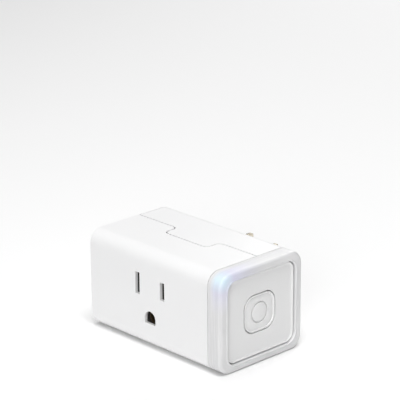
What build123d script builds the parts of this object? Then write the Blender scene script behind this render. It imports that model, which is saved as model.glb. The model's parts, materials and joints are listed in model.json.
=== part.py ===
from build123d import *
import os

# Smart plug with one pass-through outlet, in millimetres.
# X runs along the body, towards the button end. Y runs into the wall. Z is up.
# The origin is the centre of the rear face, which lies against the wall plate.

# Casing
length = 67.0
depth = 40.0
height = 36.5
corner_radius = 5.1
wall = 1.8
end_edge_round = 0.4
seam_gap = 0.2

# Rear cover: a strip of the casing with a tab on its upper edge
cover_depth = 16.6
tab_width = 22.0
tab_reach = 6.4
tab_round = 2.2
end_lip = 0.6
lap_length = 2.0
lap_wall = 0.9
lap_clearance = 0.1

# Light ring and the panel that sits in it
ring_length = 6.4
ring_border_y = 3.4
ring_border_z = 2.85
ring_opening_radius = 3.9
ring_outer_round = 1.3
ring_inner_chamfer = 0.3
ledge_width = 1.2
ledge_length = 1.6
recess_depth = 1.4
panel_thickness = 1.6
panel_gap = 0.45
panel_clearance = 0.1
panel_rim_height = 0.5
panel_rim_land = 0.2
panel_rim_slope = 0.9
hook_width = 6.0
hook_wall = 1.0
hook_barb = 0.7

# Button
button_width = 14.6
button_height = 13.4
button_radius = 4.4
button_gap = 0.3
button_stand = 0.25
button_rim = 0.45
button_rim_depth = 0.75
button_crown = 0.25
button_crown_slope = 1.8
button_travel = 0.5
button_flange = 0.8
button_flange_thickness = 0.7
groove_radius = 3.7
groove_width = 0.5
groove_depth = 0.35

# Outlet and blades: one set of centres serves both
outlet_x = -2.0
slots_z = 5.05
slot_spacing = 12.7
ground_drop = 11.9
slot_width = 2.2
slot_height_line = 6.7
slot_height_neutral = 8.2
ground_hole_radius = 2.75
ground_hole_flat = 2.0
mouth_chamfer = 0.5
blade_thickness = 1.5
blade_width_line = 6.35
blade_width_neutral = 7.94
blade_reach = 17.0
blade_tip_chamfer = 0.45
blade_tail_width = 3.0
tail_stand = 1.0
ground_pin_radius = 2.39
ground_shank_radius = 2.8
pin_tip_share = 0.8
ground_pin_reach = 20.2
blade_clearance = 0.05

# Blade carrier on the inside of the rear wall
carrier_depth = 4.5
carrier_margin = 3.6
shoulder = 0.8

# Socket carrier behind the front wall
socket_depth = 14.0
socket_margin = 3.0
socket_top_wall = 2.0
socket_bottom_wall = 1.5
chamber_clearance = 0.15
contact_thickness = 0.6
contact_length = 12.6
contact_setback = 1.0
contact_pinch = 0.5
contact_pinch_depth = 3.0
contact_waist_depth = 6.0
contact_bend = 0.8
contact_height = 6.0
ground_contact_bore = 2.5
sleeve_slit = 1.0
sleeve_whole_end = 3.0
ear_width = 4.6
ear_thickness = 2.4
ear_setback = 1.5
ear_gap = 0.1
ear_screw_grip = 7.0
screw_radius = 1.1
screw_head_radius = 2.0
screw_head_height = 1.3
screw_drive_depth = 0.7
screw_drive_length = 2.2
screw_drive_width = 0.5
screw_clearance = 0.05
boss_wall = 1.1

# Boards
board_thickness = 1.6
board_standoff = 6.0
board_edge_gap = 0.5
board_corner = 1.0
board_end_gap = 0.9
board_screw_edge = 3.2
post_radius = 2.6
post_floor = 1.5
button_board_thickness = 1.0
switch_size = 6.0
switch_body_height = 3.5
switch_clearance = 0.3
switch_floor = 1.0
plunger_radius = 1.7
plunger_clearance = 0.05
plunger_gap = 0.05
plunger_seat = 0.1
led_width = 2.8
led_height = 1.3
led_inset = 2.2
led_spacing = 4.0
led_round = 0.3
led_window_gap = 0.2
baffle_border = 5.2
baffle_gap = 0.1

# Components on the main board
relay_width = 15.2
relay_length = 19.0
relay_height = 15.4
relay_wall = 0.7
relay_corner = 0.8
relay_base_thickness = 1.2
coil_radius = 4.4
coil_height = 9.6
coil_flange = 0.8
coil_lift = 0.8
core_radius = 1.6
yoke_thickness = 1.2
yoke_width = 9.0
yoke_gap = 0.1
armature_thickness = 0.9
armature_margin = 0.5
armature_gap = 0.4
armature_clearance = 0.05
contact_radius = 1.2
contact_button = 0.2
contact_drop = 1.3
capacitor_radius = 4.0
capacitor_height = 12.5
capacitor_bead = 0.5
bead_share = 0.12
output_capacitor_radius = 3.15
output_capacitor_height = 9.0
output_capacitor_bead = 0.4
inductor_radius = 3.6
inductor_height = 8.5
inductor_flange = 1.2
inductor_waist = 0.5
varistor_radius = 4.6
varistor_thickness = 3.6
varistor_round = 0.9
varistor_stand = 1.2
varistor_pitch = 5.0
fuse_radius = 1.9
fuse_length = 9.5
fuse_round = 0.6
fuse_lead_reach = 1.5
transformer_width = 10.0
transformer_length = 12.5
transformer_height = 11.5
transformer_leg = 2.4
transformer_stand = 1.0
winding_gap = 0.15
rectifier_length = 6.0
rectifier_width = 5.0
rectifier_height = 2.4
chip_length = 5.0
chip_width = 4.0
chip_height = 1.5
wifi_width = 16.0
wifi_height = 20.0
wifi_thickness = 0.8
wifi_round = 0.6
shield_thickness = 2.0
shield_wall = 0.3
shield_margin = 2.0
shield_round = 0.4
header_length = 10.0
header_size = 2.5
header_pins = 4
header_pin_length = 3.5
part_gap = 0.4
lead_radius = 0.3

# Planes and centres that the sizes above set
left = -length / 2
right = length / 2
ring_face = right - ring_length
panel_face = right - recess_depth
panel_back = panel_face - panel_thickness
front_inside = -depth + wall
cover_inset = wall + lap_clearance + lap_wall
rear_inside = -cover_inset
carrier_back = rear_inside - carrier_depth
line_x = outlet_x + slot_spacing / 2
neutral_x = outlet_x - slot_spacing / 2
ground_z = slots_z - ground_drop
button_y = -depth / 2
board_back = rear_inside - board_standoff
board_front = board_back - board_thickness
board_left = left + wall + board_edge_gap
board_half_height = height / 2 - cover_inset - board_edge_gap
flange_front = panel_back - baffle_gap
flange_back = flange_front - button_flange_thickness
switch_face = flange_back - plunger_gap - button_travel - switch_clearance
button_board_front = switch_face - switch_body_height
button_board_back = button_board_front - button_board_thickness
board_right = button_board_back - board_end_gap
socket_back = front_inside + socket_depth
contact_mouth = front_inside + contact_setback
tail_end = board_front - tail_stand


def block(low, high):
    """A box between two opposite corners."""
    size = [b - a for a, b in zip(low, high)]
    centre = [(a + b) / 2 for a, b in zip(low, high)]
    return Pos(*centre) * Box(*size)


def rod(axis_plane, radius, amount):
    """A cylinder that starts on a plane and runs along its normal."""
    return extrude(axis_plane * Circle(radius), amount)


def along_wall(x, y, z):
    """A plane at a point, facing the front of the plug, with X to the right and Z up."""
    return Plane(origin=(x, y, z), x_dir=(1, 0, 0), z_dir=(0, -1, 0))


def into_wall(x, y, z):
    """A plane at a point, facing the wall."""
    return Plane(origin=(x, y, z), x_dir=(1, 0, 0), z_dir=(0, 1, 0))


def across(x, y, z):
    """A plane at a point, facing the button end, with Y to the right and Z up."""
    return Plane(origin=(x, y, z), x_dir=(0, 1, 0), z_dir=(1, 0, 0))


def section(inset_y, inset_z, radius, x_low, x_high):
    """The casing's rounded section, brought in by an inset, as a solid from one X to another."""
    outline = RectangleRounded(depth - 2 * inset_y, height - 2 * inset_z, radius)
    return extrude(across(x_low, -depth / 2, 0) * outline, x_high - x_low)


def casing_inside(inset, x_low, x_high):
    """The casing's section, brought in by the same inset all round."""
    return section(inset, inset, corner_radius - inset, x_low, x_high)


def cover_region(grow, x_low):
    """The space that belongs to the rear cover, with its edge moved forwards by grow."""
    edge = -cover_depth - grow
    strip = block((x_low, edge, -height), (ring_face + length, depth, height))
    half = tab_width / 2 + grow
    tab_front = edge - tab_reach
    tab = block((outlet_x - half, tab_front, 0), (outlet_x + half, edge + wall, height))
    front_edges = tab.edges().filter_by(Axis.Z).group_by(Axis.Y)[0]
    tab = fillet(front_edges, tab_round)
    region = strip + tab
    roots = region.edges().filter_by(Axis.Z).filter_by(lambda e: abs(e.center().Y - edge) < 0.01)
    roots = roots.filter_by(lambda e: abs(abs(e.center().X - outlet_x) - half) < 0.01)
    return fillet(roots, tab_round)


def slot_cutter(x, slot_height):
    """One blade slot through the front wall, with a chamfered mouth."""
    hole = extrude(along_wall(x, front_inside, slots_z) * Rectangle(slot_width, slot_height), wall)
    mouth_outline = Rectangle(slot_width + 2 * mouth_chamfer, slot_height + 2 * mouth_chamfer)
    mouth = extrude(along_wall(x, -depth, slots_z) * mouth_outline, -mouth_chamfer, taper=45)
    return hole + mouth


def ground_outline(grow):
    """The ground hole: a half circle on top, straight sides and a flat bottom."""
    radius = ground_hole_radius + grow
    flat = ground_hole_flat + grow
    arch = Circle(radius) & Pos(0, radius) * Rectangle(2 * radius, 2 * radius)
    return (arch + Pos(0, -flat / 2) * Rectangle(2 * radius, flat)).face()


def ground_cutter():
    """The ground hole through the front wall, with a chamfered mouth."""
    hole = extrude(along_wall(outlet_x, front_inside, ground_z) * ground_outline(0), wall)
    wide = along_wall(outlet_x, -depth, ground_z) * ground_outline(mouth_chamfer)
    narrow = along_wall(outlet_x, -depth + mouth_chamfer, ground_z) * ground_outline(0)
    return hole + loft([wide, narrow])


def screw_places():
    """Centres of the two screws that hold the socket carrier."""
    offset = socket_half_width() + ear_width / 2
    z = relay_place()[1] - ear_gap - ear_width / 2
    return [(outlet_x - offset, z), (outlet_x + offset, z)]


def board_screw_places():
    """Centres of the two screws that hold the main board."""
    left_x = board_left + 2 * part_gap + 2 * capacitor_radius + screw_head_radius
    right_x = part_gap + max(socket_edge() + screw_head_radius, carrier_edge() + post_radius)
    low_z = -board_half_height + board_screw_edge
    middle_z = transformer_corner()[1] - part_gap - post_radius
    return [(left_x, low_z), (right_x, middle_z)]


def carrier_edge():
    """The X of the blade carrier's right side."""
    return line_x + blade_thickness / 2 + carrier_margin


def socket_half_width():
    """Half of the socket carrier's width along X."""
    return slot_spacing / 2 + contact_thickness + slot_width / 2 + socket_margin


def socket_edge():
    """The X of the socket carrier's right side."""
    return outlet_x + socket_half_width()


def front_shell():
    """Front, top, bottom and left end of the casing, with the outlet's holes."""
    body = section(0, 0, corner_radius, left, ring_face - seam_gap)
    body = fillet(body.faces().sort_by(Axis.X)[0].edges(), end_edge_round)
    cavity = casing_inside(wall, left + wall, ring_face + wall)
    end_plug = casing_inside(cover_inset + lap_clearance, left, left + wall)
    shell = body - cavity - (cover_region(0, left + end_lip) - end_plug)
    shell -= slot_cutter(line_x, slot_height_line) + slot_cutter(neutral_x, slot_height_neutral)
    shell -= ground_cutter()
    for x, z in screw_places():
        boss_height = ear_boss_height()
        shell += rod(into_wall(x, front_inside, z), screw_radius + boss_wall, boss_height)
        shell -= rod(into_wall(x, front_inside, z), screw_radius + screw_clearance, boss_height)
    return shell


def ear_boss_height():
    """How far the bosses stand up from the front wall, to meet the carrier's ears."""
    return socket_depth - ear_thickness - ear_setback


def rear_cover():
    """Rear wall and rear strip of the casing, with the lap that fits in the front shell."""
    x_low = left + end_lip + seam_gap
    x_high = ring_face - seam_gap
    outside = section(0, 0, corner_radius, x_low, x_high)
    inside_stop = left + wall + lap_clearance
    hollow = casing_inside(cover_inset, x_low, x_high + wall)
    strip = (outside & cover_region(-seam_gap, x_low)) - hollow
    lap = casing_inside(wall + lap_clearance, inside_stop, x_high) - hollow
    cover = strip + (lap & cover_region(lap_length, inside_stop))
    cover -= end_plug_space(x_low)
    for x, width in ((line_x, blade_width_line), (neutral_x, blade_width_neutral)):
        cover -= blade_hole(x, width, rear_inside, 0)
    shank_hole = ground_shank_radius + blade_clearance
    cover -= rod(into_wall(outlet_x, rear_inside, ground_z), shank_hole, cover_inset)
    for x, z in board_screw_places():
        cover += rod(along_wall(x, rear_inside, z), post_radius, board_standoff)
        cover -= rod(along_wall(x, rear_inside, z), screw_radius + screw_clearance, board_standoff)
    return cover


def end_plug_space(x_low):
    """Room for the thick part of the front shell's end wall."""
    return casing_inside(cover_inset, x_low, left + wall + lap_clearance)


def blade_hole(x, width, y_low, y_high):
    """A close hole for a blade."""
    half_x = blade_thickness / 2 + blade_clearance
    half_z = width / 2 + blade_clearance
    return block((x - half_x, y_low, slots_z - half_z), (x + half_x, y_high, slots_z + half_z))


def ring_opening(grow, x_low, x_high):
    """The opening in the light ring, or a plate that fits it, made larger by grow."""
    radius = ring_opening_radius + grow
    return section(ring_border_y - grow, ring_border_z - grow, radius, x_low, x_high)


def light_ring():
    """Translucent band round the button end, with a ledge that carries the end panel."""
    ring = section(0, 0, corner_radius, ring_face, right)
    ring = fillet(ring.faces().sort_by(Axis.X)[-1].edges(), ring_outer_round)
    ring -= ring_opening(0, panel_back, right)
    rim = ring.faces().sort_by(Axis.X)[-1].inner_wires()[0].edges()
    ring = chamfer(rim, ring_inner_chamfer)
    ring -= ring_opening(-ledge_width, panel_back - ledge_length, panel_back)
    ring -= ring_opening(0, ring_face, panel_back - ledge_length)
    return ring


def button_outline(grow):
    """The button's rounded outline, made larger by grow."""
    width = button_width + 2 * grow
    return RectangleRounded(width, button_height + 2 * grow, button_radius + grow)


def hook(y_side, z_side):
    """One snap hook on the back of the end panel, in the middle of a side."""
    reach_y = depth / 2 - ring_border_y - ledge_width - panel_clearance
    reach_z = height / 2 - ring_border_z - ledge_width - panel_clearance
    tip = panel_back - ledge_length - panel_clearance
    barb_low = tip - hook_barb
    leg_x = (panel_back + barb_low) / 2
    leg_length = panel_back - barb_low
    half = hook_wall / 2
    if y_side:
        leg = Pos(leg_x, button_y + y_side * (reach_y - half), 0) * Box(leg_length, hook_wall, hook_width)
        place = Pos((tip + barb_low) / 2, button_y + y_side * (reach_y - half + hook_barb / 2), 0)
        return leg + place * Box(hook_barb, hook_wall + hook_barb, hook_width)
    leg = Pos(leg_x, button_y, z_side * (reach_z - half)) * Box(leg_length, hook_width, hook_wall)
    place = Pos((tip + barb_low) / 2, button_y, z_side * (reach_z - half + hook_barb / 2))
    return leg + place * Box(hook_barb, hook_width, hook_wall + hook_barb)


def panel_outline(x, inset):
    """The end panel's outline at one X, brought in by an inset."""
    edge_y = ring_border_y + panel_gap + inset
    edge_z = ring_border_z + panel_gap + inset
    corner = ring_opening_radius - panel_gap - inset
    return across(x, button_y, 0) * RectangleRounded(depth - 2 * edge_y, height - 2 * edge_z, corner)


def end_panel():
    """Tray round the button, with a low rim, held in the light ring by four hooks."""
    panel = extrude(panel_outline(panel_back, 0), panel_thickness + panel_rim_height)
    rim_face = panel_outline(panel_face + panel_rim_height, panel_rim_land)
    floor_face = panel_outline(panel_face, panel_rim_land + panel_rim_slope)
    panel -= loft([floor_face.face(), rim_face.face()])
    panel -= extrude(across(panel_back, button_y, 0) * button_outline(button_gap), panel_thickness)
    for y_side, z_side in ((1, 0), (-1, 0), (0, 1), (0, -1)):
        panel += hook(y_side, z_side)
    return panel


def power_button():
    """Key with a thin raised rim round a gently crowned face, and a flange behind the panel."""
    rim_top = panel_face + button_stand
    base = rim_top - button_rim_depth
    key = extrude(across(flange_front, button_y, 0) * button_outline(0), rim_top - flange_front)
    key -= extrude(across(base, button_y, 0) * button_outline(-button_rim), button_rim_depth)
    crown_base = across(base, button_y, 0) * button_outline(-button_rim)
    crown_top = across(base + button_crown, button_y, 0) * button_outline(-button_rim - button_crown_slope)
    key += loft([crown_base.face(), crown_top.face()])
    flange = across(flange_back, button_y, 0) * button_outline(button_flange)
    key += extrude(flange, button_flange_thickness)
    groove = Circle(groove_radius + groove_width / 2) - Circle(groove_radius - groove_width / 2)
    key -= extrude(across(base + button_crown, button_y, 0) * groove, -groove_depth)
    return key


def blade(x, width):
    """One flat blade, with a shoulder in the carrier and a tail through the main board."""
    half = blade_thickness / 2
    low = carrier_back
    body = block((x - half, low, slots_z - width / 2), (x + half, blade_reach, slots_z + width / 2))
    tip_edges = body.faces().sort_by(Axis.Y)[-1].edges()
    body = chamfer(tip_edges, blade_tip_chamfer)
    shoulder_half = width / 2 + shoulder
    rim_high = low + 2 * shoulder
    body += block((x - half, low, slots_z - shoulder_half), (x + half, rim_high, slots_z + shoulder_half))
    tail_half = blade_tail_width / 2
    body += block((x - half, tail_end, slots_z - tail_half), (x + half, low, slots_z + tail_half))
    return body


def ground_pin():
    """Round earth pin, with a rounded tip, a wider shank in the wall, a collar and a tail."""
    pin = rod(into_wall(outlet_x, 0, ground_z), ground_pin_radius, ground_pin_reach)
    pin = fillet(pin.faces().sort_by(Axis.Y)[-1].edges(), pin_tip_share * ground_pin_radius)
    start = into_wall(outlet_x, carrier_back, ground_z)
    pin += rod(start, ground_shank_radius, -carrier_back)
    pin += rod(start, ground_shank_radius + shoulder, 2 * shoulder)
    return pin + rod(start, blade_tail_width / 2, tail_end - carrier_back)


def blade_carrier():
    """Insulating block that holds the blades and the pin square to the rear wall."""
    half = carrier_edge() - outlet_x
    top = slots_z + blade_width_neutral / 2 + carrier_margin
    bottom = ground_z - ground_shank_radius - carrier_margin
    low = carrier_back
    body = block((outlet_x - half, low, bottom), (outlet_x + half, rear_inside, top))
    body = fillet(body.edges().filter_by(Axis.Y), board_corner)
    for x, width in ((line_x, blade_width_line), (neutral_x, blade_width_neutral)):
        body -= blade_hole(x, width, low, rear_inside)
        body -= blade_hole(x, width + 2 * shoulder, low, low + 2 * shoulder)
    bore = ground_shank_radius + blade_clearance
    body -= rod(into_wall(outlet_x, low, ground_z), bore, carrier_depth)
    return body - rod(into_wall(outlet_x, low, ground_z), bore + shoulder, 2 * shoulder)


def contact_outline(x):
    """Outline of a folded spring contact, seen from above: two leaves that pinch in near the mouth."""
    half_open = slot_width / 2 + contact_thickness / 2
    half_pinch = contact_pinch + contact_thickness / 2
    mouth = contact_mouth
    pinch = mouth + contact_pinch_depth
    waist = mouth + contact_waist_depth
    base = mouth + contact_length - contact_thickness / 2
    points = [
        (x - half_open, mouth), (x - half_pinch, pinch), (x - half_open, waist), (x - half_open, base),
        (x + half_open, base), (x + half_open, waist), (x + half_pinch, pinch), (x + half_open, mouth),
    ]
    path = FilletPolyline(*points, radius=contact_bend)
    return trace(path, contact_thickness)


def blade_contact(x):
    """Sprung contact that grips a blade pushed into the outlet."""
    outline = contact_outline(x)
    return extrude(Pos(0, 0, slots_z - contact_height / 2) * outline, contact_height)


def ground_contact():
    """Sprung sleeve that grips an earth pin: a slit tube."""
    start = into_wall(outlet_x, contact_mouth, ground_z)
    outer = ground_contact_bore + contact_thickness
    sleeve = rod(start, outer, contact_length)
    sleeve -= rod(start, ground_contact_bore, contact_length - contact_thickness)
    slit_end = contact_mouth + contact_length - sleeve_whole_end
    low = (outlet_x - sleeve_slit / 2, contact_mouth, ground_z)
    high = (outlet_x + sleeve_slit / 2, slit_end, ground_z + 2 * outer)
    return sleeve - block(low, high)


def socket_carrier():
    """Insulating block behind the front wall, with a chamber for each contact."""
    half = socket_half_width()
    top = slots_z + slot_height_neutral / 2 + socket_top_wall
    bottom = ground_z - ground_contact_bore - contact_thickness - socket_bottom_wall
    body = block((outlet_x - half, front_inside, bottom), (outlet_x + half, socket_back, top))
    chamber_half = slot_width / 2 + contact_thickness + chamber_clearance
    for x, slot_height in ((line_x, slot_height_line), (neutral_x, slot_height_neutral)):
        half_z = max(slot_height, contact_height) / 2 + chamber_clearance
        low = (x - chamber_half, front_inside, slots_z - half_z)
        body -= block(low, (x + chamber_half, socket_back, slots_z + half_z))
    sleeve_radius = ground_contact_bore + contact_thickness + chamber_clearance
    body -= rod(into_wall(outlet_x, front_inside, ground_z), sleeve_radius, socket_depth)
    ear_low = front_inside + ear_boss_height()
    half = ear_width / 2
    for x, z in screw_places():
        body += block((x - half, ear_low, z - half), (x + half, ear_low + ear_thickness, z + half))
        body -= rod(into_wall(x, ear_low, z), screw_radius + screw_clearance, ear_thickness)
    return body


def screw(plane, shank):
    """A pan-head screw: the head starts on the plane, and the shank runs the other way."""
    head = rod(plane, screw_head_radius, screw_head_height)
    drive = plane.offset(screw_head_height - screw_drive_depth)
    across_slot = Rectangle(screw_drive_length, screw_drive_width)
    down_slot = Rectangle(screw_drive_width, screw_drive_length)
    cross = extrude(drive * (across_slot + down_slot), screw_drive_depth)
    return head + rod(plane, screw_radius, -shank) - cross


def carrier_screws():
    """Screws that hold the socket carrier on the front shell's bosses."""
    seat = front_inside + ear_boss_height() + ear_thickness
    shank = ear_thickness + ear_screw_grip
    return Compound([screw(into_wall(x, seat, z), shank).solid() for x, z in screw_places()])


def board_screws():
    """Screws that hold the main board on the rear cover's posts."""
    shank = board_thickness + board_standoff - post_floor
    return Compound([screw(along_wall(x, board_front, z), shank).solid() for x, z in board_screw_places()])


def main_board():
    """Circuit board parallel to the wall, with slots for the blades' tails."""
    body = block((board_left, board_front, -board_half_height), (board_right, board_back, board_half_height))
    body = fillet(body.edges().filter_by(Axis.Y), board_corner)
    half_x = blade_thickness / 2 + lap_clearance
    half_z = blade_tail_width / 2 + lap_clearance
    for x in (line_x, neutral_x):
        low = (x - half_x, board_front, slots_z - half_z)
        body -= block(low, (x + half_x, board_back, slots_z + half_z))
    body -= rod(into_wall(outlet_x, board_front, ground_z), half_z, board_thickness)
    for x, z in board_screw_places():
        body -= rod(into_wall(x, board_front, z), screw_radius + screw_clearance, board_thickness)
    return body


def busbar(x, z, width):
    """Copper strip from a blade's tail to the back of a socket contact."""
    half = contact_thickness / 2
    low = (x - half, contact_mouth + contact_length, z - width / 2)
    return block(low, (x + half, tail_end, z + width / 2))


def relay_place():
    """Left and lower corner of the relay on the main board."""
    return (board_left + part_gap, board_half_height - part_gap - relay_length)


def relay_box(inset, y_low, y_high):
    """The relay's outline, brought in by an inset, from one height over the board to another."""
    x, z = relay_place()
    low = (x + inset, board_front - y_high, z + inset)
    return block(low, (x + relay_width - inset, board_front - y_low, z + relay_length - inset))


def relay_case():
    """Moulded cover of the relay, open towards the board."""
    case = relay_box(0, 0, relay_height)
    case = fillet(case.edges().filter_by(Axis.Y), relay_corner)
    return case - relay_box(relay_wall, 0, relay_height - relay_wall)


def relay_base():
    """Base that closes the relay's case."""
    return relay_box(relay_wall + armature_clearance, 0, relay_base_thickness)


def coil_centre():
    """X and Z of the relay coil's axis."""
    x, z = relay_place()
    return (x + relay_width / 2, z + relay_wall + yoke_thickness + coil_radius + coil_flange + coil_lift)


def coil_base():
    """Height over the board at which the coil starts."""
    return relay_base_thickness + yoke_thickness


def relay_coil():
    """Coil former with its winding and two flanges."""
    x, z = coil_centre()
    start = along_wall(x, board_front - coil_base(), z)
    body = rod(start, coil_radius, coil_height)
    for offset in (0, coil_height - coil_flange):
        body += rod(start.offset(offset), coil_radius + coil_flange, coil_flange)
    return body - rod(start, core_radius + armature_clearance, coil_height)


def relay_yoke():
    """Steel core and L-shaped yoke of the relay."""
    x, z = coil_centre()
    low_z = z - coil_radius - coil_flange - yoke_thickness - yoke_gap
    half = yoke_width / 2
    top = board_front - pole_height() + armature_gap / 2
    floor_y = board_front - relay_base_thickness
    foot = block((x - half, floor_y - yoke_thickness, low_z), (x + half, floor_y, z + coil_radius))
    side = block((x - half, top, low_z), (x + half, floor_y, low_z + yoke_thickness))
    core = rod(along_wall(x, floor_y - yoke_thickness, z), core_radius, coil_height + armature_gap)
    return foot + side + core


def pole_height():
    """Height over the board of the armature's lower side when the relay is open."""
    return coil_base() + coil_height + 2 * armature_gap


def armature_pivot():
    """Z of the edge on which the armature rocks."""
    return coil_centre()[1] - coil_radius - coil_flange - yoke_thickness / 2 - yoke_gap


def armature_end():
    """Z of the armature's free end, past the coil."""
    return coil_centre()[1] + coil_radius + coil_flange + 2 * contact_radius + armature_gap


def relay_armature():
    """Steel plate over the coil that rocks on the yoke's edge, with the moving contact on its end."""
    x = coil_centre()[0]
    high_y = board_front - pole_height()
    half = yoke_width / 2 - armature_margin
    far = armature_end()
    low = (x - half, high_y - armature_thickness, armature_pivot() - armature_gap)
    plate = block(low, (x + half, high_y, far))
    return plate + rod(into_wall(x, high_y, far - contact_radius), contact_radius, 2 * contact_button)


def relay_contacts():
    """Fixed contact on its post, under the armature's end."""
    x = coil_centre()[0]
    far = armature_end()
    top = board_front - pole_height() + contact_drop
    half = contact_radius + armature_gap
    low = (x - half, top, far - 2 * contact_radius)
    post = block(low, (x + half, board_front - relay_base_thickness, far))
    return post + rod(along_wall(x, top, far - contact_radius), contact_radius, contact_button)


def radial_part(x, z, radius, tall, bead):
    """An upright round component with a rounded top and a pressed groove near its foot."""
    start = along_wall(x, board_front, z)
    body = rod(start, radius, tall)
    body = fillet(body.faces().sort_by(Axis.Y)[0].edges(), bead)
    groove = start.offset(tall * bead_share)
    return body - (rod(groove, radius + bead, bead) - rod(groove, radius - bead / 2, bead))


def bulk_capacitors():
    """Two mains smoothing capacitors."""
    low = -board_half_height + capacitor_radius + part_gap
    left_x = board_left + part_gap + capacitor_radius
    right_x = socket_edge() + part_gap + capacitor_radius
    cans = []
    for x in (left_x, right_x):
        cans.append(radial_part(x, low, capacitor_radius, capacitor_height, capacitor_bead).solid())
    return Compound(cans)


def output_capacitor():
    """Low-voltage smoothing capacitor."""
    x = outlet_x + blade_tail_width + part_gap + output_capacitor_radius
    z = -board_half_height + output_capacitor_radius + part_gap
    return radial_part(x, z, output_capacitor_radius, output_capacitor_height, output_capacitor_bead)


def filter_inductor():
    """Drum-core inductor: two flanges and a winding."""
    x = outlet_x - blade_tail_width - part_gap - inductor_radius
    start = along_wall(x, board_front, -board_half_height + inductor_radius + part_gap)
    body = rod(start, inductor_radius - inductor_waist, inductor_height)
    for offset in (0, inductor_height - inductor_flange):
        body += rod(start.offset(offset), inductor_radius, inductor_flange)
    return body


def varistor():
    """Coated disc across the mains input, on two leads."""
    centre_y = board_front - varistor_stand - varistor_radius
    start = across(outlet_x - varistor_thickness / 2, centre_y, slots_z)
    disc = rod(start, varistor_radius, varistor_thickness)
    disc = fillet(disc.edges(), varistor_round)
    for side in (-1, 1):
        lead = along_wall(outlet_x, board_front, slots_z + side * varistor_pitch / 2)
        disc += rod(lead, 2 * lead_radius, varistor_radius)
    return disc


def fuse_resistor():
    """Fusible resistor lying on the board."""
    z = board_half_height - fuse_radius - part_gap
    body_y = board_front - fuse_radius - part_gap
    body = rod(across(outlet_x - fuse_length / 2, body_y, z), fuse_radius, fuse_length)
    body = fillet(body.edges(), fuse_round)
    reach = fuse_length / 2 + fuse_lead_reach
    body += rod(across(outlet_x - reach, body_y, z), lead_radius, 2 * reach)
    for tip_x in (outlet_x - reach, outlet_x + reach):
        low = (tip_x - lead_radius, body_y - lead_radius, z - lead_radius)
        body += block(low, (tip_x + lead_radius, board_front, z + lead_radius))
    return body


def transformer_corner():
    """Left and lower corner of the transformer."""
    return (socket_edge() + part_gap, board_half_height - part_gap - transformer_length)


def transformer_core():
    """Ferrite frame of the transformer, with a window on each side of its middle leg."""
    x, z = transformer_corner()
    leg = transformer_leg
    low = (x, board_front - transformer_height, z + leg)
    high = (x + transformer_width, board_front - transformer_stand, z + transformer_length - leg)
    core = block(low, high)
    window = (transformer_width - 3 * leg) / 2
    for start in (x + leg, x + 2 * leg + window):
        core -= block((start, low[1] + leg, low[2]), (start + window, high[1] - leg, high[2]))
    return core


def transformer_coil():
    """Taped winding round the transformer's middle leg."""
    x, z = transformer_corner()
    leg = transformer_leg
    low_y = board_front - transformer_height + leg
    high_y = board_front - transformer_stand - leg
    gap = winding_gap
    low = (x + leg + gap, low_y + gap, z)
    coil = block(low, (x + transformer_width - leg - gap, high_y - gap, z + transformer_length))
    middle = x + transformer_width / 2
    bore_half = leg / 2 + gap
    bore_low = (middle - bore_half, low_y, z + leg - gap)
    return coil - block(bore_low, (middle + bore_half, high_y, z + transformer_length - leg + gap))


def bridge_rectifier():
    """Rectifier on the back of the main board."""
    x = carrier_edge() + 2 * part_gap
    high_z = board_screw_places()[1][1] - post_radius - part_gap
    low = (x, board_back, high_z - rectifier_width)
    return block(low, (x + rectifier_length, board_back + rectifier_height, high_z))


def power_chip():
    """Power converter chip on the back of the main board."""
    x = carrier_edge() + 2 * part_gap
    low_z = board_screw_places()[1][1] + post_radius + part_gap
    return block((x, board_back, low_z), (x + chip_width, board_back + chip_height, low_z + chip_length))


def wifi_corner():
    """X of the radio board's right face, and its lowest Z."""
    return (board_right - part_gap, -board_half_height + part_gap)


def wifi_board():
    """Small radio board standing on the main board."""
    x, z = wifi_corner()
    body = block((x - wifi_thickness, board_front - wifi_height, z), (x, board_front, z + wifi_width))
    return fillet(body.edges().filter_by(Axis.X), wifi_round)


def wifi_shield():
    """Pressed metal can over the radio chip."""
    x, z = wifi_corner()
    back = x - wifi_thickness
    low = (back - shield_thickness, board_front - wifi_height + 3 * shield_margin, z + shield_margin)
    high = (back, board_front - shield_margin, z + wifi_width - shield_margin)
    can = block(low, high)
    can = fillet(can.faces().sort_by(Axis.X)[0].edges(), shield_round)
    hollow_low = [edge + shield_wall for edge in low]
    return can - block(hollow_low, (back, high[1] - shield_wall, high[2] - shield_wall))


def board_header():
    """Right-angle pin header between the main board and the button board."""
    z = board_half_height - part_gap - header_length
    body = block((button_board_back - header_size, board_front - header_size, z),
                 (button_board_back, board_front, z + header_length))
    pitch = header_length / header_pins
    pin_y = board_front - header_size / 2
    for index in range(header_pins):
        pin_z = z + pitch * (index + 0.5)
        low = (button_board_back - header_pin_length, pin_y - lead_radius, pin_z - lead_radius)
        body += block(low, (button_board_back, pin_y + lead_radius, pin_z + lead_radius))
    return body


def button_board():
    """Circuit board behind the button, across the casing."""
    return casing_inside(cover_inset + board_edge_gap, button_board_back, button_board_front)


def tact_switch():
    """Push switch on the button board, bored for its plunger."""
    half = switch_size / 2
    low = (button_board_front, button_y - half, -half)
    body = block(low, (switch_face, button_y + half, half))
    body = fillet(body.edges().filter_by(Axis.X), end_edge_round)
    bore_depth = button_travel + switch_floor
    bore_start = across(switch_face - bore_depth, button_y, 0)
    return body - rod(bore_start, plunger_radius + plunger_clearance, bore_depth)


def switch_plunger():
    """Plunger that the button pushes."""
    low = switch_face - button_travel + plunger_seat
    return rod(across(low, button_y, 0), plunger_radius, flange_back - plunger_gap - low)


def led_places():
    """Y and Z of the two lamps, at the front upper corner of the ring."""
    inset = cover_inset + board_edge_gap + led_inset
    y = -depth + inset
    z = height / 2 - inset
    return [(y, z - led_spacing), (y + led_spacing, z)]


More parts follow.
